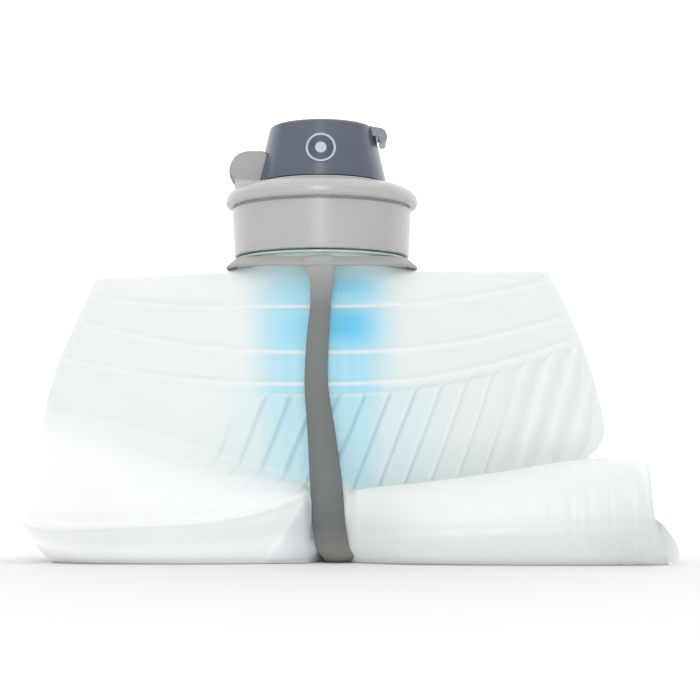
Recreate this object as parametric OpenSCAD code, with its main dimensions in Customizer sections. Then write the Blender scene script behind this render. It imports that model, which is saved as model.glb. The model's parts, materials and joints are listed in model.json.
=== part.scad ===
// Folding water bottle, packed: the film pouch is rolled up below its filter,
// a rubber strap holds the roll, and the cap with its flip cover stands on top.
// Origin on the floor below the neck, +Z along the neck, the strap's front at -Y.

/* [Cap] */
// Largest diameter of the cap's rounded lip
lip_d = 51; // [50:0.5:53]
// Diameter of the cap's plain band under the lip
band_d = 47.5; // [47:0.1:48.5]
// Height of the cap's open lower end above the floor
band_z = 79.5; // [79.4:0.1:80]
// Height of the underside of the lip
lip_z = 92.6; // [92:0.1:93.4]
// Height of the flat deck that the flip cover closes on
deck_z = 98.8; // [98.6:0.1:100]

/* [Flip cover] */
// Diameter of the cover at its open lower end
cover_base_d = 34.6; // [33.4:0.1:34.6]
// Diameter of the cover at its top
cover_top_d = 27.8; // [26:0.1:28.6]
// Height of the cover's top above the floor
cover_top_z = 114; // [113.5:0.1:116]
// Wall thickness of the cover
cover_wall = 1.5; // [1.2:0.1:1.8]
// Distance from the neck's axis to the hinge pin
hinge_x = 19.4; // [19.3:0.1:20]
// Height of the hinge pin
hinge_z = 102.4; // [102.3:0.1:103.2]
// Diameter of the two round hinge ears
ear_d = 9.4; // [9:0.1:9.8]
// Diameter of the hinge pin
pin_d = 2.4; // [2:0.1:2.8]

/* [Spout] */
// Diameter of the drinking channel
spout_bore_d = 8; // [7:0.5:9]
// Outer diameter of the spout
spout_d = 13; // [12:0.5:14]

/* [Neck] */
// Outside diameter over the neck's screw thread
thread_d = 42; // [41.6:0.1:42.2]
// Rise of the screw thread in one turn
thread_pitch = 4; // [3.8:0.1:4.4]
// Inside diameter of the neck
neck_bore_d = 34.8; // [34:0.1:35.4]
// Diameter of the collar that carries the strap
collar_d = 50.8; // [50:0.1:51.4]

/* [Pouch] */
// Half the width of the pouch at its widest
pouch_half_w = 75.5; // [74:0.5:77]
// Half the width of the pouch along its top edge
shoulder_half_w = 60; // [56:0.5:64]
// Half the depth of the pouch where it wraps the filter
pouch_r = 18; // [17.6:0.1:18.1]
// Thickness of the film
film_t = 0.5; // [0.4:0.05:0.6]

/* [Strap] */
// Thickness of the rubber strap
strap_t = 2.2; // [1.8:0.1:2.2]

/* [Filter] */
// Outside diameter of the filter cartridge
filter_d = 31; // [29:0.5:32]
// Height of the filter's lower end above the floor
filter_z = 20.5; // [20.2:0.1:24]

/* [Hidden] */
$fn = 96;

// Colours
slate = [0.36, 0.40, 0.48];
light_grey = [0.74, 0.75, 0.75];
strap_grey = [0.48, 0.50, 0.51];
film_white = [0.90, 0.96, 0.95, 0.7];
clear_teal = [0.72, 0.86, 0.86];
filter_blue = [0.15, 0.62, 0.88];
soft_white = [0.92, 0.93, 0.92];

// Radii and gaps that follow from the driving sizes
gap = 0.3;
cap_gap = 0.4;
neck_bore_r = neck_bore_d / 2;
crest_r = thread_d / 2;
root_r = crest_r - 1.3;
cap_root_r = crest_r + cap_gap;
cap_crest_r = root_r + cap_gap;
neck_top_z = lip_z + 1.7;
deck_under_z = lip_z + 3.2;
film_top_z = band_z - 3.5;
film_low_z = 20.6;
spout_r = spout_d / 2;
spout_top_z = cover_top_z - 3.5;
ear_r = ear_d / 2;
ear_w = 2.8;
knuckle_half_w = 2.4;
knuckle_r = ear_r + 0.4;
ear_back_r = ear_r + 1.5;
pin_end = knuckle_half_w + 0.4 + ear_w - 0.8;
neck_ring_r = 22.6;
filter_r = filter_d / 2;
head_z = lip_z - 6.6;

// ---------------------------------------------------------------- helpers

// A solid with its axis along Z, from a list of [radius, height] points
module turned(profile) {
  rotate_extrude() polygon(profile);
}

module ring(outer_r, inner_r, low_z, high_z) {
  translate([0, 0, low_z]) difference() {
    cylinder(r = outer_r, h = high_z - low_z);
    translate([0, 0, -1]) cylinder(r = inner_r, h = high_z - low_z + 2);
  }
}

// A cylinder along Y through the hinge, from one Y to another
module at_hinge(r, from_y, to_y) {
  translate([-hinge_x, to_y, hinge_z]) rotate([90, 0, 0])
    cylinder(r = r, h = to_y - from_y);
}

// Points of an arc in the plane of a profile
function arc(cx, cy, r, from, to, steps) =
  [for (i = [0 : steps]) let (a = from + (to - from) * i / steps)
    [cx + r * cos(a), cy + r * sin(a)]];

// A closed skin over rings of n points each; the ends are strips across a ring
module loft(rings) {
  n = len(rings[0]);
  top = (len(rings) - 1) * n;
  sides = [for (i = [0 : len(rings) - 2], j = [0 : n - 1])
    let (a = i * n + j, b = i * n + (j + 1) % n)
    each [[a, b, b + n], [a, b + n, a + n]]];
  ends = [for (j = [0 : n / 2 - 2])
    let (k = n - 1 - j)
    each [[k, j + 1, j], [k, k - 1, j + 1],
      [top + j, top + j + 1, top + k], [top + j + 1, top + k - 1, top + k]]];
  polyhedron(points = [for (r = rings) each r], faces = concat(sides, ends), convexity = 6);
}

// A helical ridge that rises anticlockwise, fading out at both ends. Its foot is
// a hair off the round wall, so that it stays a solid of its own.
module screw_ridge(wall_r, tip_r, low_z, turns, foot, tip) {
  per_turn = 32;
  steps = round(turns * per_turn);
  fade = 5;
  outward = tip_r > wall_r;
  foot_r = outward ? wall_r / cos(180 / per_turn) + 0.004 : wall_r - 0.004;
  loft([for (i = [0 : steps])
    let (
      a = 7 + 360 * i / per_turn,
      z = low_z + thread_pitch * i / per_turn,
      f = min(1, (i + 0.6) / fade, (steps - i + 0.6) / fade),
      r = foot_r + (tip_r - foot_r) * f,
      side = outward ? 1 : -1
    )
    [for (q = [[foot_r, -side * foot], [foot_r, side * foot], [r, side * tip], [r, -side * tip]])
      [q[0] * cos(a), q[0] * sin(a), z + q[1]]]]);
}

// ---------------------------------------------------------------- pouch

// Half the pouch's width at a height
function half_w(z) =
  pouch_half_w - (pouch_half_w - shoulder_half_w) * pow((z - 31) / (film_top_z - 31), 2);

// Depth of film drawn tight over the round filter and out to its side weld
function wrap(x, w, r) =
  let (a = acos((r - film_t) / w), xt = r * cos(a), s = (r * sin(a) - film_t) / (w - xt))
  abs(x) < xt ? sqrt(r * r - x * x) : film_t + max(0, w - abs(x)) * s;

// Depth of the film along its top edge, closed beside the neck
function top_depth(x) =
  max(film_t, 0.74 * sqrt(max(0, 23.5 * 23.5 - x * x)));

// Depth of the pouch at any place, rounding over towards the top
function depth(x, z) =
  let (
    t = max(0, min(1, (z - film_top_z + 12) / 12)),
    s = 1 - sqrt(1 - t * t)
  )
  (1 - s) * wrap(x, half_w(z), pouch_r) + s * top_depth(x);

// One sheet of film; side is -1 for the front and 1 for the back
module film_sheet(side, low_z, lean) {
  across = 36;
  up = 11;
  loft([for (k = [0 : up])
    let (
      v = k / up,
      z = low_z + (film_top_z - low_z) * (1 - pow(1 - v, 1.35)),
      w = half_w(z),
      shift = lean * pow(max(0, (film_low_z + 4 - z) / film_low_z), 2),
      outer = [for (i = [0 : across]) let (x = w * (2 * i / across - 1))
        [x, side * (depth(x, z) - shift * (1 - abs(x) / w)), z]],
      inner = [for (i = [across : -1 : 0]) let (x = w * (2 * i / across - 1))
        [x, side * (depth(x, z) - film_t - shift * (1 - abs(x) / w)), z]]
    )
    side < 0 ? concat(outer, inner) : [for (i = [2 * across + 1 : -1 : 0]) concat(outer, inner)[i]]]);
}

module film_front() {
  color(film_white) film_sheet(-1, film_low_z, 0);
}

module film_back() {
  color(film_white) film_sheet(1, 4, 4.4);
}

// The roll's sections: [x, middle y, half depth, lowest z, highest z]
ROLL = [
  [-77.5, -14.5, 5, 8, 17], [-74, -15, 11, 2.5, 18.5], [-68, -15.5, 14, 0, 19],
  [-45, -13.5, 16, 0, 19], [-20, -8, 18, 0, 19], [-7, -6, 18.5, 0, 19],
  [-2.4, -5, 17, 2.5, 19], [7.6, -5, 17, 2.5, 19], [12, -7, 18, 0, 19.2],
  [25, -12, 18, 0, 19.4], [45, -19.5, 15.5, 0, 22.3], [68, -21, 13.5, 0, 25.8],
  [83, -21, 13, 0, 26.4], [86.5, -21, 11, 2, 24]
];

// A flattened round section that lies flat on its lower side
function roll_ring(s) =
  let (n = 28, high = s[4], low = s[3], b = (high - low) * 0.56, zc = high - b)
  [for (i = [0 : n - 1]) let (a = 360 * i / n)
    [s[0], s[1] + s[2] * cos(a), max(low, zc + b * sin(a))]];

module film_roll() {
  color(film_white) difference() {
    loft([for (s = ROLL) roll_ring(s)]);
    panel_slot(gap);
  }
}

// The space of the stiff base panel, whose corner stands out of the roll's end
module panel_slot(room) {
  translate([66 - room, -30, 6 - room]) cube([30, 17, 1.2 + 2 * room]);
}

module base_panel() {
  color(film_white) translate([66, -29.6, 6]) linear_extrude(1.2)
    polygon([[0, 0], [22, 0], [25.2, 3], [25.2, 13], [22, 16.2], [0, 16.2]]);
}

// ---------------------------------------------------------------- neck

// The ring below the thread, which the collar grips, has a groove around it
module neck_finish() {
  color(clear_teal) turned([
    [neck_bore_r, film_top_z + 0.1], [neck_ring_r - 0.6, film_top_z + 0.1],
    [neck_ring_r, film_top_z + 0.7], [neck_ring_r, band_z - 1.6],
    [neck_ring_r - 0.7, band_z - 1.4], [neck_ring_r - 0.7, band_z - 1.1],
    [neck_ring_r, band_z - 0.9], [neck_ring_r, band_z - 0.4],
    [root_r, band_z + 0.2], [root_r, neck_top_z - 0.5],
    [root_r - 0.5, neck_top_z], [neck_bore_r, neck_top_z]
  ]);
}

// The neck's thread, moulded in one with it
module neck_thread() {
  color(clear_teal) screw_ridge(root_r, crest_r, band_z + 3, 1.75, 1.1, 0.5);
}

// The strap pulls the rubber collar down in front and behind
module collar_ring() {
  rim_r = collar_d / 2;
  inner_r = neck_ring_r + 0.2;
  pull = 1.6;
  steps = 72;
  section = [
    [inner_r, 0.6], [rim_r - 0.7, 0], [rim_r - 0.2, 0.1], [rim_r, 0.5], [rim_r - 0.2, 0.9],
    [rim_r - 1.2, 1.7], [inner_r + 0.6, 2.6], [inner_r, 2.7]
  ];
  n = len(section);
  points = [for (i = [0 : steps - 1], q = section)
    let (a = 360 * i / steps)
    [q[0] * cos(a), q[0] * sin(a), film_top_z + 0.3 + q[1] - pull * pow(sin(a), 2)]];
  faces = [for (i = [0 : steps - 1], j = [0 : n - 1])
    let (a = i * n + j, b = i * n + (j + 1) % n, c = ((i + 1) % steps) * n)
    each [[a, c + (j + 1) % n, b], [a, c + j, c + (j + 1) % n]]];
  color(strap_grey) polyhedron(points = points, faces = faces, convexity = 4);
}

// ---------------------------------------------------------------- strap

// Half of the loop's outer face as [y, z], from the collar down and under
FRONT_ROUTE = [
  [-25.4, 76.6], [-25.1, 74], [-23.8, 68], [-21.4, 55], [-20.8, 44], [-20.9, 33],
  [-21.6, 25], [-23.6, 17], [-24.6, 10.5], [-23.2, 4.2], [-19.2, 0.9], [-15, 0]
];
BACK_ROUTE = [
  [6, 0], [12, 0.4], [16.4, 3.4], [18.9, 9], [20.3, 17], [20.8, 26], [20.8, 36],
  [20.8, 48], [21.6, 58], [23.8, 68], [25.1, 74], [25.4, 76.6]
];

// A smooth curve through a list of points
function spline(p, n) = concat(
  [for (i = [0 : len(p) - 2], k = [0 : n - 1])
    let (
      t = k / n, a = p[max(0, i - 1)], b = p[i], c = p[i + 1], d = p[min(len(p) - 1, i + 2)]
    )
    0.5 * (2 * b + (c - a) * t + (2 * a - 5 * b + 4 * c - d) * t * t
      + (3 * b - a - 3 * c + d) * t * t * t)],
  [p[len(p) - 1]]);

// The same curve moved sideways, to the left of its direction
function beside(p, d) =
  [for (i = [0 : len(p) - 1])
    let (
      v = p[min(len(p) - 1, i + 1)] - p[max(0, i - 1)],
      u = v / norm(v)
    )
    p[i] + d * [-u[1], u[0]]];

// Left and right edges of the strap as [x, z], seen from the front
STRAP_LEFT = [
  [-4.3, 77.2], [-3.9, 75], [-2.7, 71.5], [-2.5, 67], [-3.6, 56], [-4.1, 46],
  [-3.3, 33], [-2.6, 20], [-1.8, 8], [-1.2, 2.5], [-1.2, -1]
];
STRAP_RIGHT = [
  [7.0, -1], [7.0, 2.5], [6.8, 8], [5.2, 20], [3.4, 33], [1.9, 46], [2.1, 56],
  [2.9, 67], [3.4, 71.5], [3.8, 75], [4.1, 77.2]
];

module carry_strap() {
  front = spline(FRONT_ROUTE, 3);
  back = spline(BACK_ROUTE, 3);
  outer = concat(front, back);
  inner = beside(outer, strap_t);
  loop = concat(outer, [for (i = [len(inner) - 1 : -1 : 0]) inner[i]]);
  face = concat(spline(STRAP_LEFT, 3), spline(STRAP_RIGHT, 3));
  color(strap_grey) intersection() {
    translate([-20, 0, 0]) rotate([90, 0, 90]) linear_extrude(40) polygon(loop);
    translate([0, 40, 0]) rotate([90, 0, 0]) linear_extrude(80) polygon(face);
  }
}

// ---------------------------------------------------------------- cap

module cap_base() {
  band_r = band_d / 2;
  lip_r = lip_d / 2;
  shoulder_w = 6.4;
  shoulder_z = lip_z + 1.5;
  shoulder_h = deck_z - 0.7 - shoulder_z;
  color(light_grey) difference() {
    union() {
      difference() {
        turned(concat(
          [[cap_root_r, band_z + 0.3], [cap_root_r + 0.3, band_z]],
          arc(band_r - 1.1, band_z + 0.5, 0.5, -90, 0, 3),
          [[band_r, lip_z - 0.7], [band_r - 0.7, lip_z - 0.5], [band_r - 0.7, lip_z]],
          arc(lip_r - 1.2, lip_z + 1.2, 1.2, -90, 0, 4),
          [for (a = [10 : 10 : 80])
            [lip_r - shoulder_w * (1 - cos(a)), shoulder_z + shoulder_h * sin(a)]],
          [[17.8, deck_z - 0.4], [17.4, deck_z], [spout_r + 0.05, deck_z],
           [spout_r + 0.05, deck_under_z], [8, deck_under_z], [8, deck_under_z - 3.6],
           [9.6, deck_under_z - 3.6], [9.6, deck_under_z], [13.3, deck_under_z],
           [13.3, head_z + 2], [15.2, head_z + 2], [15.2, deck_under_z],
           [cap_root_r, deck_under_z]]
        ));
        at_hinge(knuckle_r + 0.4, -knuckle_half_w - 0.7, knuckle_half_w + 0.7);
        bayonet_slots();
      }
      for (side = [-1, 1]) hinge_ear(side);
    }
    at_hinge(pin_d / 2, -pin_end, 20);
  }
}

// One ear of the hinge: round at its outer end, and cut level on top
module hinge_ear(side) {
  inside = knuckle_half_w + 0.4;
  y = side > 0 ? inside : -inside - ear_w;
  at_hinge(ear_r - 0.4, y, y + ear_w);
  at_hinge(ear_r, side > 0 ? y : y + 0.4, side > 0 ? y + ear_w - 0.4 : y + ear_w);
  intersection() {
    at_hinge(ear_back_r, y, y + ear_w);
    translate([-hinge_x, y, deck_z - 1]) cube([8, ear_w, hinge_z + ear_r - deck_z + 1]);
  }
  translate([-hinge_x - 3.4, y, deck_under_z + 1])
    cube([6.6, ear_w, hinge_z - deck_under_z - 1]);
}

// Two L-shaped slots in the ring under the deck, for the filter's lugs
module bayonet_slots() {
  for (turn = [0, 180]) rotate(turn) {
    translate([0, 0, head_z + 3.3]) rotate_extrude(angle = 92) translate([12.5, 0])
      square([3.2, 2.8]);
    rotate(66) translate([0, 0, head_z + 1]) rotate_extrude(angle = 24) translate([12.5, 0])
      square([3.2, 3]);
  }
}

// The cap's inside thread, moulded in one with it, half a turn from the neck's
module cap_thread() {
  color(light_grey) screw_ridge(cap_root_r, cap_crest_r, band_z + 5, 1.4, 1.1, 0.5);
}

module cap_gasket() {
  color(soft_white) ring(20.4, neck_bore_r + 0.6, neck_top_z + 0.3, deck_under_z - 0.3);
}

module spout() {
  bore_r = spout_bore_d / 2;
  color(soft_white) difference() {
    turned([
      [bore_r - 1, deck_under_z - 1], [7.6, deck_under_z - 1],
      [7.6, deck_under_z], [spout_r, deck_under_z],
      [spout_r, spout_top_z - 2], [spout_r - 0.8, spout_top_z - 0.4],
      [spout_r - 1.4, spout_top_z], [bore_r - 1, spout_top_z]
    ]);
    translate([0, 0, deck_under_z - 5]) cylinder(r = bore_r, h = 40);
  }
}

module hinge_pin() {
  color("silver") at_hinge(pin_d / 2, -pin_end, pin_end);
}

// ---------------------------------------------------------------- cover

cover_base_z = deck_z + gap;
cover_inside_z = cover_top_z - cover_wall;

// Radius of the cover's outside at a height
function cover_r(z) =
  let (t = (z - cover_base_z) / (cover_top_z - cover_base_z))
  (cover_base_d + (cover_top_d - cover_base_d) * t) / 2;

module flip_cover() {
  top_r = cover_top_d / 2;
  color(slate) difference() {
    union() {
      turned(concat(
        [[0, cover_base_z], [cover_r(cover_base_z), cover_base_z]],
        arc(top_r - 0.9, cover_top_z - 0.9, 0.95, 10, 90, 4),
        [[0, cover_top_z + 0.3]]
      ));
      thumb_lip();
      at_hinge(knuckle_r, -knuckle_half_w, knuckle_half_w);
      translate([-hinge_x, -knuckle_half_w, cover_base_z])
        cube([6, 2 * knuckle_half_w, hinge_z + 3.4 - cover_base_z]);
    }
    turned([
      [0, cover_base_z - 1], [cover_r(cover_base_z) - cover_wall + 0.1, cover_base_z - 1],
      [cover_r(cover_inside_z) - cover_wall, cover_inside_z], [0, cover_inside_z]
    ]);
    at_hinge(pin_d / 2 + 0.05, -10, 10);
    for (y = [-knuckle_half_w - ear_w - 0.8, knuckle_half_w])
      at_hinge(ear_back_r + gap, y, y + ear_w + 0.8);
    badge_seat(0.06);
  }
}

// The beak that a thumb lifts, drooping at its end
module thumb_lip() {
  z = cover_top_z;
  rotate([90, 0, 0]) translate([0, 0, -5]) linear_extrude(10) polygon(concat(
    [[9, z - 2.6], [9, z], [12.6, z - 0.1], [14.4, z - 0.5]],
    arc(14.6, z - 3.1, 2.7, 60, -10, 6),
    arc(16.2, z - 3.3, 1.1, -20, -150, 5),
    [[15, z - 2.7], [13.6, z - 2.8], [12, z - 4.6]]
  ));
}

// A round seat for the plain badge on the cover's front
module badge_seat(room) {
  tilt = atan((cover_base_d - cover_top_d) / 2 / (cover_top_z - cover_base_z));
  mid_z = 106.2;
  translate([0, -cover_r(mid_z), mid_z]) rotate([90 - tilt, 0, 0])
    translate([0, 0, -1.0]) cylinder(r = 3.9 + room, h = 2);
}

module badge() {
  color(light_grey) intersection() {
    badge_seat(0);
    turned([
      [cover_r(cover_base_z) - 0.7, cover_base_z], [cover_r(cover_base_z) + 0.25, cover_base_z],
      [cover_r(cover_inside_z) + 0.25, cover_inside_z], [cover_r(cover_inside_z) - 0.7, cover_inside_z]
    ]);
  }
}

module cover_plug() {
  color(soft_white) turned([
    [0, spout_top_z + gap], [spout_r + 0.5, spout_top_z + gap],
    [spout_r + 0.5, cover_inside_z], [0, cover_inside_z]
  ]);
}

// ---------------------------------------------------------------- filter

module filter_head() {
  lug_z = head_z + 3.7;
  color(soft_white) {
    difference() {
      union() {
        turned([
          [3.5, head_z], [filter_r, head_z], [filter_r, head_z + 1.5], [12.9, head_z + 1.5],
          [12.9, head_z + 5.4], [6.1, head_z + 5.4], [6.1, head_z + 6.2],
          [5.9, head_z + 6.2], [5.9, head_z + 8.2], [6.1, head_z + 8.2],
          [6.1, head_z + 8.4], [3.5, head_z + 8.4]
        ]);
        for (turn = [8, 188]) rotate(turn) translate([0, 0, lug_z])
          rotate_extrude(angle = 14) translate([12.5, 0]) square([2.1, 1.9]);
      }
      translate([0, 0, head_z - 1]) cylinder(r = 3.5, h = 12);
    }
  }
}

module head_o_ring() {
  color([0.2, 0.2, 0.22]) translate([0, 0, head_z + 7.2]) rotate_extrude()
    translate([6.85, 0]) circle(r = 0.9, $fn = 32);
}

module filter_housing() {
  wall = 1.2;
  low = filter_z + 4;
  color(filter_blue) difference() {
    ring(filter_r, filter_r - wall, low, head_z);
    for (row = [0 : 2], i = [0 : 7]) rotate(i * 45 + 22.5)
      translate([filter_r - 4, -2.2, low + 6 + row * 15]) cube([8, 4.4, 10]);
  }
}

module potting_disc() {
  color([0.95, 0.9, 0.75]) ring(filter_r - 1.25, 0.4, head_z - 6, head_z - 0.05);
}

module fibre_bundle() {
  color(soft_white) translate([0, 0, filter_z + 6])
    cylinder(r = filter_r - 2.2, h = head_z - 6 - filter_z - 6);
}

module inlet_screen() {
  color([0.8, 0.85, 0.86])
    ring(filter_r - 1.3, filter_r - 1.7, filter_z + 4.1, head_z - 6.1);
}

module filter_end_cap() {
  color(filter_blue) difference() {
    turned([
      [0, filter_z], [filter_r - 1.5, filter_z], [filter_r, filter_z + 1.5],
      [filter_r, filter_z + 4], [0, filter_z + 4]
    ]);
    for (i = [0 : 5]) rotate(i * 60) translate([4, -1.1, filter_z - 1]) cube([8, 2.2, 6]);
  }
}

neck_finish();
neck_thread();
film_front();
film_back();
film_roll();
base_panel();
collar_ring();
carry_strap();
cap_gasket();
cap_base();
cap_thread();
spout();
hinge_pin();
flip_cover();
cover_plug();
badge();
filter_head();
head_o_ring();
filter_housing();
potting_disc();
fibre_bundle();
inlet_screen();
filter_end_cap();
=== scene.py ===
import json
import math

import bpy
import numpy as np
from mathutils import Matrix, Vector


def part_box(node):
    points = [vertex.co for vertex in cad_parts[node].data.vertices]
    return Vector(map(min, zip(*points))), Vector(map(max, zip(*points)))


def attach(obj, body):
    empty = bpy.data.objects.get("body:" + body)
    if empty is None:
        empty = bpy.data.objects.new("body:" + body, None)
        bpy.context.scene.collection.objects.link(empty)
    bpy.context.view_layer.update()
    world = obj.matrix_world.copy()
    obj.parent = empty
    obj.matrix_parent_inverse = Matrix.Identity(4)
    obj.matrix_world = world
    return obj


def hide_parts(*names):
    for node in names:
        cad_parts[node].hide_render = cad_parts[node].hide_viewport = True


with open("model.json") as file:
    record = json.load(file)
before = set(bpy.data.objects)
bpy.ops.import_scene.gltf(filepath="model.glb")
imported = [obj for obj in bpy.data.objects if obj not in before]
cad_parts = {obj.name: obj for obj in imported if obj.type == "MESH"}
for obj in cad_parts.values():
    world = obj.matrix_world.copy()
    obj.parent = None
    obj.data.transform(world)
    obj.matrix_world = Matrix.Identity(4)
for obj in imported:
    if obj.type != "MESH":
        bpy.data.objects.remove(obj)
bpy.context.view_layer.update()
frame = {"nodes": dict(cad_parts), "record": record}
NODES = frame["nodes"]
MM = 0.001

# Driving places, in millimetres: the pouch's top edge and its radius round the
# filter come from the frame
FRONT = [[c / MM for c in corner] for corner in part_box("film_front")]
TOP_Z = FRONT[1][2]
POUCH_R = -FRONT[0][1]
STRAP_X = 2.5  # middle of the strap
BADGE_Z = 106.2  # middle of the badge
EAR_Z = 98.9  # foot of the cap's hinge ear
FLOOR_GAP = 0.05  # film and strap lie this far above the floor

DIM = 0.41  # strength of the room in front of the bottle
# the floor in front is darkened as painted shade; behind the bottle it is paler
FLOOR_NEAR, FLOOR_BEHIND = (0.82,) * 3, (0.97,) * 3


# ------------------------------------------------------------- node helpers


class Shader:
    """A material under construction: one Principled shader and what feeds it."""

    def __init__(self, name, color, roughness, **sockets):
        self.material = bpy.data.materials.new(name)
        self.material.use_nodes = True
        self.tree = self.material.node_tree
        self.main = self.tree.nodes["Principled BSDF"]
        self.main.inputs["Base Color"].default_value = (*color, 1)
        self.main.inputs["Roughness"].default_value = roughness
        for key, value in sockets.items():
            self.main.inputs[key.replace("_", " ")].default_value = value
        self.place = self.tree.nodes.new("ShaderNodeTexCoord").outputs["Object"]

    def node(self, kind, **inputs):
        n = self.tree.nodes.new(kind)
        for key, value in inputs.items():
            socket = n.inputs[key.replace("_", " ")]
            if isinstance(value, bpy.types.NodeSocket):
                self.tree.links.new(value, socket)
            else:
                socket.default_value = value
        return n

    def link(self, output, socket):
        self.tree.links.new(output, self.main.inputs[socket])

    def math(self, operation, a, b=None, clamp=False):
        n = self.tree.nodes.new("ShaderNodeMath")
        n.operation, n.use_clamp = operation, clamp
        for i, value in enumerate((a, b)):
            if value is None:
                continue
            if isinstance(value, bpy.types.NodeSocket):
                self.tree.links.new(value, n.inputs[i])
            else:
                n.inputs[i].default_value = value
        return n.outputs[0]

    def noise(self, scale, detail=3.0, stretch=None):
        """Noise in metres, from 0 to 1; stretch squeezes it along an axis."""
        at = self.place
        if stretch:
            m = self.node("ShaderNodeMapping", Vector=at)
            m.inputs["Scale"].default_value = stretch
            at = m.outputs[0]
        n = self.node("ShaderNodeTexNoise", Vector=at, Scale=scale, Detail=detail)
        return n.outputs[0]

    def spread(self, source, low, high, start=0.3, end=0.7):
        """Maps start..end of the source onto low..high."""
        n = self.node("ShaderNodeMapRange", Value=source)
        n.inputs["From Min"].default_value = start
        n.inputs["From Max"].default_value = end
        n.inputs["To Min"].default_value = low
        n.inputs["To Max"].default_value = high
        return n.outputs[0]

    def mix(self, factor, a, b):
        n = self.tree.nodes.new("ShaderNodeMix")
        n.data_type = "RGBA"
        for name, value in (("Factor", factor), ("A", a), ("B", b)):
            kind = "VALUE" if name == "Factor" else "RGBA"
            socket = next(s for s in n.inputs if s.name == name and s.type == kind)
            if isinstance(value, bpy.types.NodeSocket):
                self.tree.links.new(value, socket)
            else:
                socket.default_value = value if kind == "VALUE" else (*value, 1)
        return next(s for s in n.outputs if s.type == "RGBA")

    def bump(self, height, distance_mm, strength=1.0):
        n = self.node("ShaderNodeBump", Height=height)
        n.inputs["Distance"].default_value = distance_mm * MM
        n.inputs["Strength"].default_value = strength
        self.link(n.outputs[0], "Normal")


GRAIN_MM = 0.35


def moulded(name, color, roughness, shade=0.05, relief_mm=0.02, **sockets):
    """A moulded plastic: fine grain, slight clouding and uneven gloss."""
    s = Shader(name, color, roughness, **sockets)
    cloud = s.noise(90, 3)
    dark = tuple(c * (1 - shade) for c in color)
    light = tuple(min(1, c * (1 + shade * 0.6)) for c in color)
    s.link(s.mix(s.spread(cloud, 0, 1), dark, light), "Base Color")
    grain = s.noise(1 / (GRAIN_MM * MM), 2)
    s.link(s.spread(grain, roughness - 0.02, roughness + 0.03), "Roughness")
    s.bump(grain, relief_mm)
    return s.material


# ---------------------------------------------------------------- materials


def film_material():
    """Milky film, greyer where plies of film overlap, with painted shade and painted highlights;
    blue where the filter is behind it.
    """
    s = Shader("film", (0.9, 0.95, 0.94), 0.3, Alpha=0.9, IOR=1.45)
    painted = {}
    for name in ("rib", "groove", "blue", "deep", "layers_and_shade"):
        n = s.node("ShaderNodeAttribute")
        n.attribute_name = name
        painted[name] = n.outputs["Fac"]
    cloud = s.spread(s.noise(30, 2), 0.0, 1.0)
    milk = s.mix(cloud, (0.865, 0.915, 0.885), (0.905, 0.935, 0.92))
    # painted shade: blue-grey low on the roll, at its ends and beside the strap, partly where plies
    # of film overlap
    milk = s.mix(painted["layers_and_shade"], milk, (0.56, 0.62, 0.645))
    tinted = s.mix(painted["blue"], milk, (0.31, 0.81, 1.0))
    tinted = s.mix(painted["deep"], tinted, (0.08, 0.58, 0.95))
    # painted shade in the grooves between the pads, bluer over the filter
    dark = s.mix(painted["blue"], (0.62, 0.70, 0.71), (0.12, 0.55, 0.74))
    groove_shaded = s.mix(s.math("MULTIPLY", painted["groove"], 0.62), tinted, dark)
    # the rib value whitens the welded ribs, partly as a painted highlight, paints highlights on the
    # pad tips and paints light on the roll's left front
    s.link(s.mix(painted["rib"], groove_shaded, (0.97, 0.985, 0.99)), "Base Color")
    s.link(s.spread(s.noise(120, 2), 0.28, 0.4), "Roughness")
    s.bump(s.noise(70, 2, (1, 1, 0.35)), 0.2, 0.4)
    return s.material


def strap_material():
    """Matt rubber, dusty in patches, with painted light making it paler upward to the collar, and
    paler and browner at the foot.
    """
    s = Shader("strap_rubber", (0.2, 0.22, 0.22), 0.42)
    z = s.node("ShaderNodeSeparateXYZ", Vector=s.place).outputs[2]
    # painted light: paler upward, as if lit from above
    height = s.spread(z, 0.0, 1.0, 10 * MM, 60 * MM)
    patches = s.spread(s.noise(70, 4), 0.0, 1.0)
    dusty = s.mix(patches, (0.11, 0.122, 0.125), (0.138, 0.15, 0.153))
    pale = s.mix(height, dusty, (0.19, 0.205, 0.195))
    # paler and browner at the foot
    foot = s.spread(z, 1.0, 0.0, 1 * MM, 9 * MM)
    browner_foot = s.mix(foot, pale, (0.23, 0.215, 0.19))
    # painted light: paler still at the top of the strap and on the collar
    collar = s.spread(z, 0.0, 1.0, 64 * MM, 75 * MM)
    s.link(s.mix(collar, browner_foot, (0.37, 0.38, 0.365)), "Base Color")
    grain = s.noise(2600, 2)
    s.link(s.spread(grain, 0.42, 0.58), "Roughness")
    s.bump(grain, 0.03)
    return s.material


def cap_material():
    """Satin grey plastic; the hinge ear, left of the cover, has painted shade and a duller finish.
    """
    s = Shader("cap_plastic", (0.46, 0.465, 0.465), 0.27, Specular_IOR_Level=0.75)
    x, _, z = s.node("ShaderNodeSeparateXYZ", Vector=s.place).outputs
    # painted shade on the hinge ear, which is also made duller
    beside = s.spread(x, 1, 0, -15 * MM, -13 * MM)
    above = s.spread(z, 0, 1, EAR_Z * MM, (EAR_Z + 1) * MM)
    ear = s.math("MULTIPLY", beside, above)
    cloud = s.spread(s.noise(60, 2), 0, 1)
    clouded = s.mix(cloud, (0.455, 0.46, 0.46), (0.475, 0.48, 0.48))
    s.link(s.mix(ear, clouded, (0.36, 0.355, 0.365)), "Base Color")
    gloss = s.spread(s.noise(150, 2), 0.25, 0.29)
    s.link(s.math("ADD", gloss, s.math("MULTIPLY", ear, 0.2)), "Roughness")
    return s.material


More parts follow.
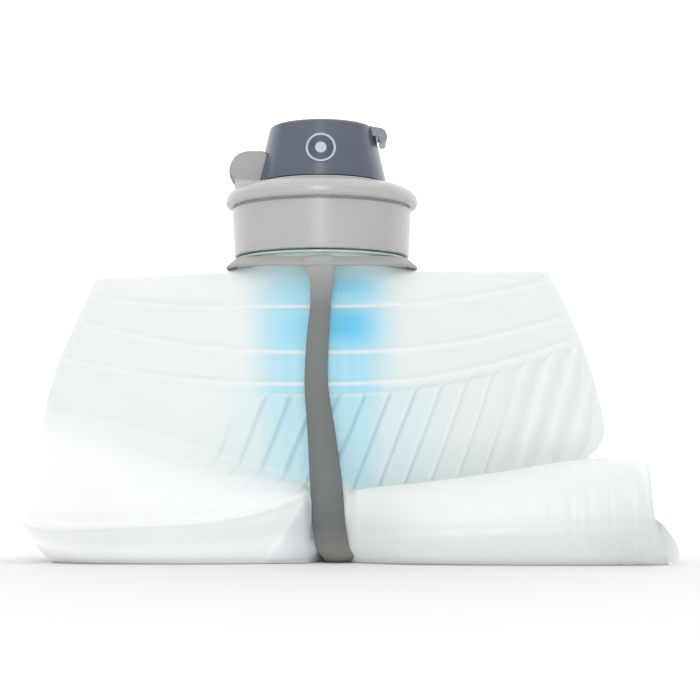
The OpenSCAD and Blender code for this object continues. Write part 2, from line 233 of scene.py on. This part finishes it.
def clear_material():
    """Clear plastic with a slight green cast."""
    s = Shader("neck_clear", (0.72, 0.85, 0.85), 0.18, Alpha=0.75)
    cloud = s.spread(s.noise(120, 3), 0, 1)
    s.link(s.mix(cloud, (0.62, 0.79, 0.79), (0.78, 0.88, 0.88)), "Base Color")
    s.link(s.spread(s.noise(500, 3), 0.12, 0.24), "Roughness")
    return s.material


def badge_material():
    """A plain round badge: pale rim, slate ring and pale centre."""
    s = Shader("badge_plastic", (0.5, 0.52, 0.54), 0.3)
    x, _, z = s.node("ShaderNodeSeparateXYZ", Vector=s.place).outputs
    up = s.math("SUBTRACT", z, BADGE_Z * MM)
    squares = s.math("MULTIPLY", x, x), s.math("MULTIPLY", up, up)
    radius = s.math("SQRT", s.math("ADD", *squares))
    ring = s.math("MULTIPLY", s.spread(radius, 0, 1, 1.35 * MM, 1.55 * MM),
                  s.spread(radius, 1, 0, 3.2 * MM, 3.4 * MM))
    pale = s.mix(s.spread(s.noise(300, 2), 0, 1), (0.46, 0.49, 0.52), (0.54, 0.57, 0.60))
    s.link(s.mix(ring, pale, (0.06, 0.075, 0.12)), "Base Color")
    s.link(s.spread(s.noise(2500, 2), 0.24, 0.36), "Roughness")
    return s.material


MATERIALS = {
    "clear_plastic": clear_material(),
    "film": film_material(),
    "strap_rubber": strap_material(),
    "silicone": moulded("silicone", (0.80, 0.81, 0.80), 0.42),
    "cap_plastic": cap_material(),
    "pin_steel": moulded("pin_steel", (0.62, 0.62, 0.62), 0.28, Metallic=1.0),
    "cover_plastic": moulded("cover_plastic", (0.08, 0.1, 0.14), 0.24, shade=0.08,
                             relief_mm=0.006, Specular_IOR_Level=0.8),
    "badge_plastic": badge_material(),
    "filter_white": moulded("filter_white", (0.8, 0.82, 0.82), 0.4),
    "o_ring_rubber": moulded("o_ring_rubber", (0.02, 0.02, 0.022), 0.35),
    "filter_blue": moulded("filter_blue", (0.02, 0.36, 0.80), 0.3),
    "resin": moulded("resin", (0.75, 0.66, 0.42), 0.25),
    "fibre": moulded("fibre", (0.85, 0.86, 0.84), 0.6, relief_mm=0.15),
    "screen": moulded("screen", (0.55, 0.64, 0.66), 0.5, relief_mm=0.1),
}

for part in frame["record"]["subparts"]:
    node = NODES[part["node"]]
    for slot in node.material_slots:
        slot.material = MATERIALS[part["material_slot"]]


# ------------------------------------------------------------- mesh helpers


def make_piece(name, points_mm, faces, slot_name, replaced=()):
    """A new smooth piece from points in millimetres, riding on the bottle."""
    mesh = bpy.data.meshes.new(name)
    mesh.from_pydata((np.asarray(points_mm) * MM).tolist(), [], faces)
    mesh.validate()
    mesh.polygons.foreach_set("use_smooth", [True] * len(mesh.polygons))
    piece = bpy.data.objects.new(name, mesh)
    bpy.context.collection.objects.link(piece)
    mesh.materials.append(MATERIALS[slot_name])
    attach(piece, "bottle")
    if replaced:
        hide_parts(*replaced)
    return piece


def grid_faces(rows, columns, around=False):
    """Quads over a grid of points; around joins the last column to the first."""
    i = np.arange(rows - 1)[:, None] * columns
    j = np.arange(columns if around else columns - 1)[None, :]
    k = (j + 1) % columns
    quads = np.stack([i + j, i + k, i + columns + k, i + columns + j], axis=-1)
    return quads.reshape(-1, 4).tolist()


def through(knots, values, at, calm=False):
    """A smooth curve through values at rising knots; calm stops it overshooting."""
    knots, values, at = (np.asarray(a, float) for a in (knots, values, at))
    shape = (-1,) + (1,) * (values.ndim - 1)
    slope = np.gradient(values, knots, axis=0)
    if calm:
        rise = np.abs(np.diff(values, axis=0) / np.diff(knots).reshape(shape))
        before, after = np.concatenate([rise[:1], rise]), np.concatenate([rise, rise[-1:]])
        limit = 2 * np.minimum(before, after)
        slope = np.clip(slope, -limit, limit)
    i = np.clip(np.searchsorted(knots, at) - 1, 0, len(knots) - 2)
    h = knots[i + 1] - knots[i]
    t = (at - knots[i]) / h
    t, h = t.reshape(shape), h.reshape(shape)
    a, b, c, d = values[i], values[i + 1], slope[i] * h, slope[i + 1] * h
    return (
        (2 * t**3 - 3 * t**2 + 1) * a
        + (t**3 - 2 * t**2 + t) * c
        + (3 * t**2 - 2 * t**3) * b
        + (t**3 - t**2) * d
    )


# -------------------------------------------------------------------- pouch

# Stations across the pouch, from its left end to its right end. The strap
# crosses at 0 and its edges are at the stations beside it.
ACROSS = [-1.0, -0.95, -0.8, -0.55, -0.3, -0.09, -0.058, 0.0,
          0.058, 0.085, 0.3, 0.55, 0.8, 0.95, 1.0]
# Height at which the front sheet starts to lean out over the roll
BEND_Z = [39, 38.6, 37, 32, 26, 21.5, 20, 19.5, 19, 17.6, 15, 13, 14, 16, 17]
# Lines along the roll, from the valley behind it round to its lower back:
# for each, [y, z] at every station
ROLL_LINES = [
    # valley
    [(-10, 26), (-11.5, 27), (-14, 28), (-18, 24.5), (-21.5, 21), (-20.3, 18.8), (-19.4, 18),
     (-19.2, 17.9), (-18.9, 17.2), (-18, 15), (-14, 12), (-10, 11.5), (-8, 13), (-8, 14), (-9, 14)],
    # inner shoulder
    [(-18, 18.4), (-20, 19), (-23.5, 19), (-26.3, 17.5), (-27.5, 17.3), (-24.6, 17.9),
     (-21.4, 17.7), (-20.6, 17.6), (-20.8, 17.6), (-19.8, 17.6), (-17, 19.0), (-15, 21.3),
     (-14.5, 23.8), (-15, 24.8), (-16, 23.8)],
    # crest
    [(-23, 13.4), (-25.6, 12.6), (-28.6, 11.2), (-30, 12.3), (-30, 14), (-26.2, 16.4),
     (-22.6, 15.8), (-21.4, 15.2), (-22.2, 16.6), (-22.8, 18.2), (-21.5, 20.3), (-20, 23),
     (-20.5, 26), (-21, 26.4), (-21.4, 25.0)],
    # upper front
    [(-24.8, 10.6), (-26.8, 9.8), (-29, 8.2), (-30.2, 9.0), (-30, 10.2), (-26.4, 12),
     (-23.2, 11.4), (-22.0, 11), (-23.6, 12.0), (-25.0, 13.4), (-28, 17.2), (-29, 19.2),
     (-29.5, 21.6), (-29.4, 22.2), (-28.2, 21.4)],
    # foremost
    [(-24.8, 7), (-26.6, 6.2), (-28.2, 5), (-29.2, 5.4), (-28.6, 6.3), (-25.2, 7.5),
     (-22.6, 7.2), (-21.6, 7), (-23.6, 7.6), (-25.4, 8.4), (-31, 10.5), (-32.6, 12), (-33.2, 13),
     (-33, 13), (-31.4, 13)],
    # lower front
    [(-24, 2.6), (-25.6, 1.8), (-27.6, 1.2), (-28.6, 1.2), (-27.6, 1.3), (-25.4, 1.3),
     (-23.4, 2.0), (-20.5, 3.8), (-22.8, 1.8), (-24.4, 1.5), (-30.6, 1.4), (-32.4, 1.5),
     (-32.6, 1.6), (-32.2, 1.7), (-30.6, 2)],
    # underside, front
    [(-21.5, 0.4), (-23.6, 0.15), (-26.2, 0.05), (-27.4, 0.05), (-26.4, 0.05), (-24.4, 0.1),
     (-21.6, 0.7), (-17, 2.6), (-21.2, 0.5), (-23.0, 0.2), (-29.2, 0.05), (-31.2, 0.05),
     (-31.4, 0.05), (-30.8, 0.05), (-29, 0.3)],
    # underside, back
    [(-10, 0.6), (-8.6, 0.3), (-7, 0.1), (-3, 0.1), (2, 0.1), (5.6, 1.1), (7.2, 2.5),
     (7.5, 2.6), (7.2, 2.5), (5.6, 1.1), (1, 0.1), (-6, 0.1), (-10, 0.1), (-11, 0.2), (-12, 0.5)],
    # lower back
    [(-5, 5), (-3, 4.2), (-1, 3.5), (4, 3.2), (9.5, 3.2), (13.0, 4.2), (14.3, 4.6),
     (14.6, 4.6), (14.3, 4.6), (13.0, 4.2), (8.5, 3.2), (2, 3.2), (-3.5, 4.5), (-5, 5.6),
     (-6, 6.4)],
]
# How far the left and right ends of those lines reach
ROLL_ENDS = [
    (-73.8, 79), (-75.4, 81.8), (-76.6, 82.8), (-75.2, 82.3), (-72.4, 82.6), (-69.8, 85.6),
    (-68.2, 86.5), (-67.4, 86.2), (-70, 84),
]
# [height, half width] of the flat pouch
LEFT_EDGE = [(25, 73.6), (31, 74.7), (41.7, 73.3), (52.4, 69.9), (61.7, 65.9), (76, 59.4)]
RIGHT_EDGE = [(17, 66), (27, 71.8), (29.7, 74.2), (33, 75.3), (39, 74.6), (49.7, 71.8),
              (61.7, 67.4), (76, 60.2)]
# Three welded ribs: [height at the middle, rise to the left, rise to the right]
RIBS = [(65.2, 0.0011, 0.0025), (53.5, 0.0023, 0.0026), (45.4, 0.0016, 0.0029)]
PAD_PITCH = 6.35  # from one slanted pad to the next


def smooth(value, start, end):
    """Eases from 0 at start to 1 at end."""
    t = np.clip((value - start) / (end - start), 0, 1)
    return t * t * (3 - 2 * t)


def bell(value, half):
    """A bump of height 1 round 0."""
    return np.exp(-((value / half) ** 2))


def column_x(u, left, right):
    """Places across, with the strap's middle always at u = 0."""
    return np.where(u < 0, STRAP_X - u * (left - STRAP_X), STRAP_X + u * (right - STRAP_X))


def sheet_depth(x, z, left, right):
    """Depth of film drawn over the round filter and out flat to its side welds."""
    w = np.where(x < 0, -left, right)
    r, weld = POUCH_R, 2.5
    a = np.arccos(r / (w - weld))
    touch, slope = r * np.cos(a), r * np.sin(a) / (w - weld - r * np.cos(a))
    ax = np.abs(x)
    flat = 0.12 + np.maximum(0, w - weld - ax) * slope
    body = np.where(ax < touch, np.sqrt(np.maximum(r * r - x * x, 0)), flat)
    arch = 23.5**2 - x * x
    arch = 0.5 * (arch + np.hypot(arch, 60)) * (1 - smooth(ax, 28, 46))
    top = np.maximum(0.12, 0.74 * np.sqrt(arch))
    t = np.clip((z - TOP_Z + 12) / 12, 0, 1)
    s = 1 - np.sqrt(1 - t * t)
    return (1 - s) * body + s * top


def pouch_grid(columns, panel_rows, roll_rows, back_rows):
    """The pouch as one loop of film: front, valley, roll, underside and back."""
    u = np.linspace(-1, 1, columns)
    bend = through(ACROSS, BEND_Z, u, calm=True)
    top_z = TOP_Z - 2.0 * np.clip((-u - 0.35) / 0.65, 0, 1) ** 1.3

    def panel(t, low):
        """A row of a sheet, t of the way down from its top edge."""
        z = top_z + (low - top_z) * t
        left = -through([e[0] for e in LEFT_EDGE], [e[1] for e in LEFT_EDGE], z)
        right = through([e[0] for e in RIGHT_EDGE], [e[1] for e in RIGHT_EDGE], z)
        x = column_x(u, left, right)
        return np.stack([x, sheet_depth(x, z, left, right), z], -1)

    to_front = np.array([1, -1, 1])
    front = np.stack([panel(t, bend) * to_front for t in np.linspace(0, 1, panel_rows) ** 1.15])
    lines = [
        np.column_stack([column_x(u, left, right), through(ACROSS, line, u, calm=True)])
        for (left, right), line in zip(ROLL_ENDS, ROLL_LINES)
    ]
    back_low = np.full(columns, 22.0)
    knots = np.stack([front[-12], front[-1], *lines, panel(1, back_low), panel(1, back_low + 5)])
    step = np.linalg.norm(np.diff(knots, axis=0), axis=2).mean(axis=1)
    at = np.concatenate([[0], np.cumsum(step)])
    where = np.linspace(at[1], at[-2], roll_rows + 2)[1:-1]
    roll = through(at, knots, where)
    roll[..., 2] = np.maximum(roll[..., 2], FLOOR_GAP)
    back = np.stack([panel(t, back_low) for t in np.linspace(1, 0, back_rows)])
    return u, front, roll, back


def rib_height(x, rib):
    """Height of a welded rib, which climbs to both sides."""
    middle, left_rise, right_rise = rib
    return middle + np.where(x < 0, left_rise, right_rise) * x * x


def welded_ribs(x, z):
    """The ribs' height, and where they are white: whiter welds with a painted highlight, strongest
    towards the middle.
    """
    height, white = np.zeros_like(x), np.zeros_like(x)
    for rib in RIBS:
        d = z - rib_height(x, rib)
        strength = np.where(x < 0, 1 - 0.65 * smooth(-x, 28, 60), 1 - 0.4 * smooth(x, 35, 60))
        height += strength * (0.6 * bell(d, 0.6) - 0.2 * bell(d + 1.6, 0.9))
        reach = np.where(x < 0, 28, 40)
        white += bell(d, 0.5) * np.exp(-((x / reach) ** 4))
    return height, white


def slanted_pads(x, z):
    """Slanted pads under the lowest rib, the thin grooves between them, painted shade in those
    grooves and painted highlights on the pads' tips.
    """
    limit = rib_height(x, (43.0, *RIBS[2][1:])) - 0.6 * np.clip(-14 - x, 0, 30)
    slant = 0.39 - 0.0024 * np.clip(x - 20, 0, 60)
    phase = (x - slant * (z - 43) + 1.3) / PAD_PITCH
    d = (phase - np.round(phase)) * PAD_PITCH
    rounded = 0.9 * (1 - 2 * np.abs(d) / PAD_PITCH) ** 5
    below = smooth((limit - rounded - z) / (0.5 + 7 * smooth(-x, 12, 30)), 0, 1)
    groove = bell(d, 0.42)
    pads = 0.35 - (0.58 - 0.3 * smooth(-x, 10, 36) - 0.22 * smooth(x, 16, 40)) * groove
    flutes = np.where(x > 0, 0.36, 0.18) * np.cos(2 * np.pi * phase)
    far = smooth(np.abs(x - 4), 38, 52)
    fade = smooth(x, -70, -58) * smooth(76 - x, 0, 6)
    height = below * fade * ((1 - far) * pads + far * flutes)
    # painted highlight along the upper tips of the pads
    tip_highlight = bell(limit - rounded - z - 0.5, 0.4) * np.exp(-((x - 4) / 22) ** 4)
    thin = 1 - 0.75 * smooth(-x, 8, 36) - 0.62 * smooth(x, 16, 34)
    return height, below * groove * (1 - far) * fade * thin, tip_highlight * (1 - groove)


# Soft creases in the film: [x, height] from and to, half width, depth
CREASES = [
    ((-72, 60), (-40, 54), 1.6, -0.35), ((26, 71), (52, 67), 1.8, -0.45),
    ((34, 74), (58, 72.5), 1.3, 0.35), ((-58, 73), (-30, 70.5), 2.0, 0.4),
    ((-64, 52), (-38, 38), 3.0, -0.5), ((30, 66), (56, 60), 2.6, 0.35),
    ((48, 44), (72, 36), 3.0, 0.5), ((-30, 60), (-20, 40), 2.4, -0.3),
]


def crease_height(x, z):
    """Height of the soft creases at a place on the flat sheet."""
    out = np.zeros_like(x)
    for (x0, z0), (x1, z1), half, depth in CREASES:
        span = (x1 - x0) ** 2 + (z1 - z0) ** 2
        along = ((x - x0) * (x1 - x0) + (z - z0) * (z1 - z0)) / span
        bow = 1.2 * np.sin(np.pi * np.clip(along, 0, 1))
        off = ((x - x0) * (z1 - z0) - (z - z0) * (x1 - x0)) / math.hypot(x1 - x0, z1 - z0) + bow
        fade = smooth(along, -0.1, 0.3) * smooth(1.1 - along, 0, 0.4)
        out += depth * bell(off, half) * fade
    return out


def displaced(points, height):
    """Moves each point of a grid along its normal."""
    n = np.cross(np.gradient(points, axis=1), np.gradient(points, axis=0))
    n /= np.maximum(np.linalg.norm(n, axis=2, keepdims=True), 1e-9)
    return points + n * height[..., None]


def paint(piece, name, values):
    """A value at every point of the piece, for its material to read."""
    layer = piece.data.attributes.new(name, "FLOAT", "POINT")
    layer.data.foreach_set("value", np.clip(values, 0, 1).astype(np.float32).ravel())


def left_crease(x):
    """Height of the crease under the left bulge, which climbs to the strap."""
    places = [-78, -70, -50, -25.5, -12, -3.2, 0]
    heights = [11, 9.8, 9.9, 11.5, 14.4, 17.9, 19]
    return through(places, heights, np.clip(x, -78, 0).ravel()).reshape(x.shape)


def beside_strap(x, z):
    """A flat facet pressed in at the left of the strap, from 0 to 1."""
    reach = 10 * (1 - np.clip(z / 16, 0, 1)) + 3
    across = smooth(x, -2 - reach, 0 - reach) * smooth(0.5 - x, 0, 1)
    return across * smooth(z, 0.5, 2) * smooth(17 - z, 0, 2)


def roll_creases(x, z, past):
    """Relief of the roll's front; past goes from 0 at the bend to 1 at the back."""
    facing = smooth(past, 0.05, 0.12) * smooth(0.56 - past, 0, 0.04)
    left = smooth(-1 - x, 0, 3)
    d = z - left_crease(x)
    out = left * (0.5 * bell(d - 1.5, 1.2) - 0.35 * bell(d + 0.5, 0.8))
    out -= 0.6 * beside_strap(x, z)
    right = smooth(x - 8, 0, 4)
    low = z - (6.5 + 0.03 * x)
    out += right * (0.12 * bell(low - 1.2, 1.4) - 0.12 * bell(low, 0.9))
    marks = np.sin(1.3 * x + 0.2 * z) + np.sin(2.9 * x + 1) * np.sin(0.37 * x)
    out += 0.06 * marks * smooth(x, 46, 70) * smooth(84 - x, 0, 4)
    return out * facing


def plies_and_painted_shade(x, z, past):
    """Painted shade on the roll, partly where plies of film lie on each other: low on the
    roll, at its ends and right beside the strap."""
    left = 0.1 * smooth(left_crease(x) - z, -0.4, 1.2) + 0.12 * smooth(5 - z, 0, 4)
    end = smooth(x, 60, 82) * (0.3 + 0.7 * smooth(21 - z, 0, 9))
    right = 0.2 * smooth(15 - z, 0, 9) + 0.3 * end + 0.22 * bell(x - 14, 8)
    out = np.where(x < STRAP_X, left, right) + 0.6 * beside_strap(x, z)
    return out * smooth(past, 0.06, 0.12)


# [height, how strongly the filter shows through the film]
GLOW = np.array([
    (14, 0), (20, 0.5), (31, 0.6), (40, 0.64), (41.5, 0.66), (44.5, 0.9), (46, 0.82), (50, 0.78),
    (55, 0.88), (60, 1.0), (65, 0.85), (67, 0.75), (70, 0.85), (73, 0.5), (76.5, 0.2),
])


def filter_glow(x, z):
    """How blue the film is, and how deep the blue, over the filter."""
    level = np.interp(z, GLOW[:, 0], GLOW[:, 1]) * np.where(x > 0, 1, 0.86)
    near = np.where(x > 0, 1 - smooth(x, 8, 23), 1 - smooth(-x, 8, 22))
    streaks = 1 - 0.14 * (0.5 + 0.5 * np.sin(1.9 * x + 0.05 * z)) * smooth(58 - z, 0, 8)
    wide = 0.2 * (1 - smooth(np.abs(x - 4), 12, 38)) * smooth(z, 15, 22) * smooth(50 - z, 0, 8)
    low, high = smooth(z, 53, 60) * smooth(67 - z, 0, 5), smooth(z, 67, 70) * smooth(74 - z, 0, 3)
    deep = 0.62 * bell(x - 6, 7) * (low + 0.5 * high)
    return np.maximum(near * level * streaks, wide), deep


def build_pouch():
    """The whole film: its relief, and the values its material reads."""
    u, front, roll, back = pouch_grid(columns=400, panel_rows=190, roll_rows=200, back_rows=130)
    loop = np.concatenate([front, roll, back])
    first, last = len(front) - 1, len(front) - 1 + len(roll)
    # past the bend the pattern follows the film, not its height
    flat_z = loop[..., 2].copy()
    run = np.linalg.norm(np.diff(loop[first:last + 1], axis=0), axis=2)
    flat_z[first + 1:last + 1] = flat_z[first] - np.cumsum(run, axis=0)
    rows = np.arange(len(loop))[:, None]
    past = (rows - first) / (last - first)
    left = np.clip(-u / 0.1, 0, 1)
    on_front = left * np.clip(1 - past / 0.36, 0, 1)
    on_front += (1 - left) * np.clip((first - rows) / 5, 0, 1)
    shown = np.clip(on_front + np.clip((rows - last) / 10, 0, 1), 0, 1)
    shown = shown * (1 - 0.45 * smooth(past, 0, 0.05) * (past < 1))

    x = loop[..., 0]
    ribs, white = welded_ribs(x, flat_z)
    pads, groove, tip_highlight = slanted_pads(x, flat_z)
    ends = smooth(1 - np.abs(u), 0, 0.04)
    height = shown * ends * (ribs + pads + crease_height(x, flat_z))
    on_roll = (past > 0) & (past < 1)
    height += np.where(on_roll, roll_creases(x, loop[..., 2], past), 0) * ends
    under_strap = np.exp(-((u / 0.07) ** 4))
    height *= 1 - under_strap * smooth(past, -0.1, 0.0)
    blue, deep = filter_glow(x, flat_z)
    layers_and_shade = plies_and_painted_shade(x, loop[..., 2], np.where(on_roll, past, 0))
    loop = displaced(loop, height)
    loop[..., 2] = np.maximum(loop[..., 2], FLOOR_GAP)
    faces = grid_faces(*loop.shape[:2])
    piece = make_piece("pouch_film", loop.reshape(-1, 3), faces, "film",
                       replaced=("film_front", "film_back", "film_roll"))
    # painted light: the roll's left front, below the bend, made paler
    bright = 0.75 * smooth(-2 - x, 0, 10) * smooth(past, 0.02, 0.14) * on_roll
    # ribs whiter, partly as a painted highlight, plus painted highlights on the pad tips
    paint(piece, "rib", (white + 0.8 * tip_highlight) * shown + bright)
    # painted shade: a dark line along the right end of the roll
    rim = 0.8 * smooth(u, 0.985, 0.995) * on_roll
    paint(piece, "groove", groove * shown + rim)
    paint(piece, "blue", blue * shown)
    paint(piece, "deep", deep * shown)
    # painted shade, partly where plies of film overlap
    paint(piece, "layers_and_shade", layers_and_shade)
    return piece


def spiral_end(name, side, section, turns):
    """Layers of film wound inside an end of the roll, as one spiral ribbon."""
    centre = section.mean(axis=0)
    n = len(section)
    deep = 14  # how far into the roll the ribbon reaches
    steps = int(turns * n)
    rows = []
    for inset in np.linspace(0, 1, 8):
        row = []
        for i in range(steps):
            shrink = 0.9 - 0.8 * i / steps
            p = centre + (section[i % n] - centre) * shrink
            wobble = 0.5 * math.sin(i * 0.35) * (1 - inset)
            row.append([p[0] - side * (inset * deep + 1.2 + 2.4 * i / steps - wobble), p[1], p[2]])
        rows.append(row)
    points = np.array(rows).reshape(-1, 3)
    return make_piece(name, points, grid_faces(len(rows), steps), "film")


def build_roll_ends():
    """The wound film that shows inside both ends of the roll."""
    _, _, roll, _ = pouch_grid(columns=60, panel_rows=40, roll_rows=96, back_rows=20)
    wound = roll[8:]  # the rows before are still the valley behind the roll
    spiral_end("roll_end_right", 1, wound[:, -1], turns=4.3)
    spiral_end("roll_end_left", -1, wound[:, 0], turns=4.3)


def build_fold_corner():
    """The pouch's stiff base corner, which stands out of the right end."""
    outer = [(80, -24, 12.5), (84, -26.5, 11), (86.2, -27.4, 8.8), (88, -27.8, 6.2),
             (89.2, -27.8, 3.4), (89.2, -27.4, 1.4), (88, -27, 0.3)]
    inner = [(78, -24, 10.5), (79, -25, 9), (80, -26, 7), (81, -27, 5.2),
             (82, -27.4, 3.2), (82.6, -27.2, 1.6), (83, -26.6, 0.6)]
    knots = np.linspace(0, 1, len(outer))
    at = np.linspace(0, 1, 40)
    outer, inner = through(knots, outer, at), through(knots, inner, at)
    rows = []
    for t in np.linspace(0, 1, 16):
        row = inner + (outer - inner) * t
        row[:, 1] += 2.2 * (1 - t) * t - 1.2 * t
        rows.append(row)
    faces = grid_faces(len(rows), len(at))
    return make_piece("fold_corner", np.array(rows).reshape(-1, 3), faces, "film",
                      replaced=("base_panel",))


build_pouch()
build_roll_ends()
build_fold_corner()

# -------------------------------------------------------------------- strap

# The loop's outer face as [y, z], from the collar down, under and up behind
STRAP_ROUTE = [
    (-23.2, 78.0), (-24.9, 77.0), (-25.3, 75.4), (-25.0, 73), (-23.8, 68), (-21.4, 55),
    (-20.8, 44), (-20.9, 33), (-21.6, 25), (-23.6, 17), (-25.0, 10.5), (-25.3, 4.8),
    (-24.8, 1.6), (-22.4, 0.1), (-15, 0.05), (-8, 0.05), (0, 0.05),
    (6, 0.05), (12, 0.4), (16.4, 3.4), (18.9, 9), (20.3, 17), (20.8, 26), (20.8, 36),
    (20.8, 48), (21.6, 58), (23.8, 68), (25.0, 73), (25.3, 75.4),
    (24.9, 77.0), (23.2, 78.0),
]
# [height, left edge, right edge]
STRAP_EDGES = [
    (-2, 1.2, 9.4), (0.6, 0.5, 9.0), (3, -0.7, 7.7), (8, -1.7, 6.6), (20, -2.6, 5.6),
    (33, -3.3, 3.8), (46, -4.1, 1.9), (56, -3.6, 2.1), (67, -2.5, 2.9), (71.5, -2.7, 3.4),
    (75, -3.9, 3.8), (77.6, -4.6, 4.1),
]
STRAP_T = 2.2  # thickness


def build_strap():
    """A rubber band with rounded edges and a soft ridge along its face."""
    route = np.array(STRAP_ROUTE)
    length = np.concatenate([[0], np.cumsum(np.linalg.norm(np.diff(route, axis=0), axis=1))])
    at = np.linspace(0, length[-1], 260)
    path = through(length, route, at)
    heading = np.gradient(path, axis=0)
    heading /= np.linalg.norm(heading, axis=1, keepdims=True)
    inward = np.stack([-heading[:, 1], heading[:, 0]], -1)
    z = path[:, 1]
    edges = np.array(STRAP_EDGES)
    left, right = (through(edges[:, 0], edges[:, k], z) for k in (1, 2))
    ridge_at = 0.42 + 0.2 * smooth(z, 52, 74)
    around = np.linspace(0, 2 * np.pi, 40, endpoint=False)
    rings = []
    # a rounded oblong: across runs 0 to 1, depth 0 outside to 1 inside
    c, s = np.cos(around), np.sin(around)
    across = 0.5 + 0.5 * np.sign(c) * np.abs(c) ** 0.45
    depth = 0.5 - 0.5 * np.sign(s) * np.abs(s) ** 0.7
    for i in range(len(at)):
        dome = np.clip(1 - np.abs(across - ridge_at[i]) / 0.62, 0, 1)
        sink = np.where(s > 0, 0.55 * (1 - dome**1.4), 0)
        d = depth * STRAP_T + sink * (1 - depth)
        yz = path[i] + inward[i] * d[:, None]
        yz[:, 1] = np.maximum(yz[:, 1], FLOOR_GAP)
        x = left[i] + (right[i] - left[i]) * across
        rings.append(np.column_stack([x, yz]))
    faces = grid_faces(len(rings), len(around), around=True)
    return make_piece("strap", np.array(rings).reshape(-1, 3), faces, "strap_rubber",
                      replaced=("carry_strap",))


def build_collar():
    """The strap's collar, pulled down in front and behind."""
    section = [(22.8, 0.6), (24.6, 0.0), (25.1, 0.05), (25.35, 0.28), (25.4, 0.5), (25.3, 0.75),
               (25.0, 1.05), (24.3, 1.6), (23.6, 2.2), (23.3, 2.5), (23.1, 2.65), (22.8, 2.7)]
    turn = np.linspace(0, 2 * np.pi, 240, endpoint=False)
    rows = [
        np.column_stack([r * np.cos(turn), r * np.sin(turn),
                         TOP_Z + 0.3 + z - 1.6 * np.sin(turn) ** 2])
        for r, z in section + section[:1]
    ]
    faces = grid_faces(len(rows), len(turn), around=True)
    return make_piece("collar", np.array(rows).reshape(-1, 3), faces, "strap_rubber",
                      replaced=("collar_ring",))


build_strap()
build_collar()

# ------------------------------------------------------------ stage and light


def build_stage():
    """A floor that reaches the horizon, a little paler behind the bottle; the darker floor in front
    is painted shade that offsets the strip light and deepens the bottle's shadow there.
    """
    size = 12.0
    mesh = bpy.data.meshes.new("floor")
    mesh.from_pydata([(-size, -size, 0), (size, -size, 0), (size, size, 0), (-size, size, 0)],
                     [], [(0, 1, 2, 3)])
    floor = bpy.data.objects.new("floor", mesh)
    bpy.context.collection.objects.link(floor)
    s = Shader("floor", FLOOR_NEAR, 0.8)
    y = s.node("ShaderNodeSeparateXYZ", Vector=s.place).outputs[1]
    behind = s.spread(y, 0, 1, -0.03, 0.15)
    s.link(s.mix(behind, FLOOR_NEAR, FLOOR_BEHIND), "Base Color")
    mesh.materials.append(s.material)


def build_world():
    """A white room, brightest overhead and behind the bottle, dimmer in front."""
    world = bpy.data.worlds.new("studio")
    world.use_nodes = True
    tree = world.node_tree
    background = tree.nodes["Background"]
    split = tree.nodes.new("ShaderNodeSeparateXYZ")
    tree.links.new(tree.nodes.new("ShaderNodeTexCoord").outputs["Generated"], split.inputs[0])
    levels = []
    for axis, start, end, low, high in (
        (0, 0.9, -0.9, DIM, 0.66), (1, -0.1, 0.7, DIM, 1.4), (2, 0.15, 0.9, DIM, 1.2),
    ):
        level = tree.nodes.new("ShaderNodeMapRange")
        level.interpolation_type = "SMOOTHSTEP"
        inputs = {"From Min": start, "From Max": end, "To Min": low, "To Max": high}
        for key, value in inputs.items():
            level.inputs[key].default_value = value
        tree.links.new(split.outputs[axis], level.inputs["Value"])
        levels.append(level.outputs[0])
    while len(levels) > 1:
        brighter = tree.nodes.new("ShaderNodeMath")
        brighter.operation = "MAXIMUM"
        for i in (0, 1):
            tree.links.new(levels.pop(), brighter.inputs[i])
        levels.append(brighter.outputs[0])
    tree.links.new(levels[0], background.inputs["Strength"])
    background.inputs["Color"].default_value = (1, 1, 1, 1)
    bpy.context.scene.world = world


def strip_light():
    """An upright softbox in front, seen as a soft streak on the cap."""
    data = bpy.data.lights.new("strip", "AREA")
    data.shape, data.size, data.size_y, data.energy = "RECTANGLE", 0.2, 0.45, 1.4
    light = bpy.data.objects.new("strip", data)
    light.location = (-0.03, -0.75, 0.34)
    aim = Vector((0, 0, 0.1)) - light.location
    light.rotation_euler = aim.to_track_quat("-Z", "Y").to_euler()
    bpy.context.collection.objects.link(light)


def build_camera():
    """Low in front, looking straight ahead at the side where the strap runs down."""
    distance, eye_z, eye_x = 0.420, 0.030, 0.0075
    data = bpy.data.cameras.new("camera")
    data.sensor_width = 36
    data.lens = 81.0
    data.shift_y = 0.1343
    data.clip_start = 0.01
    camera = bpy.data.objects.new("camera", data)
    camera.location = (eye_x, -distance, eye_z)
    camera.rotation_euler = (math.radians(90), 0, 0)
    bpy.context.collection.objects.link(camera)
    bpy.context.scene.camera = camera


build_stage()
build_world()
strip_light()
build_camera()
bpy.context.scene.view_settings.view_transform = "Standard"
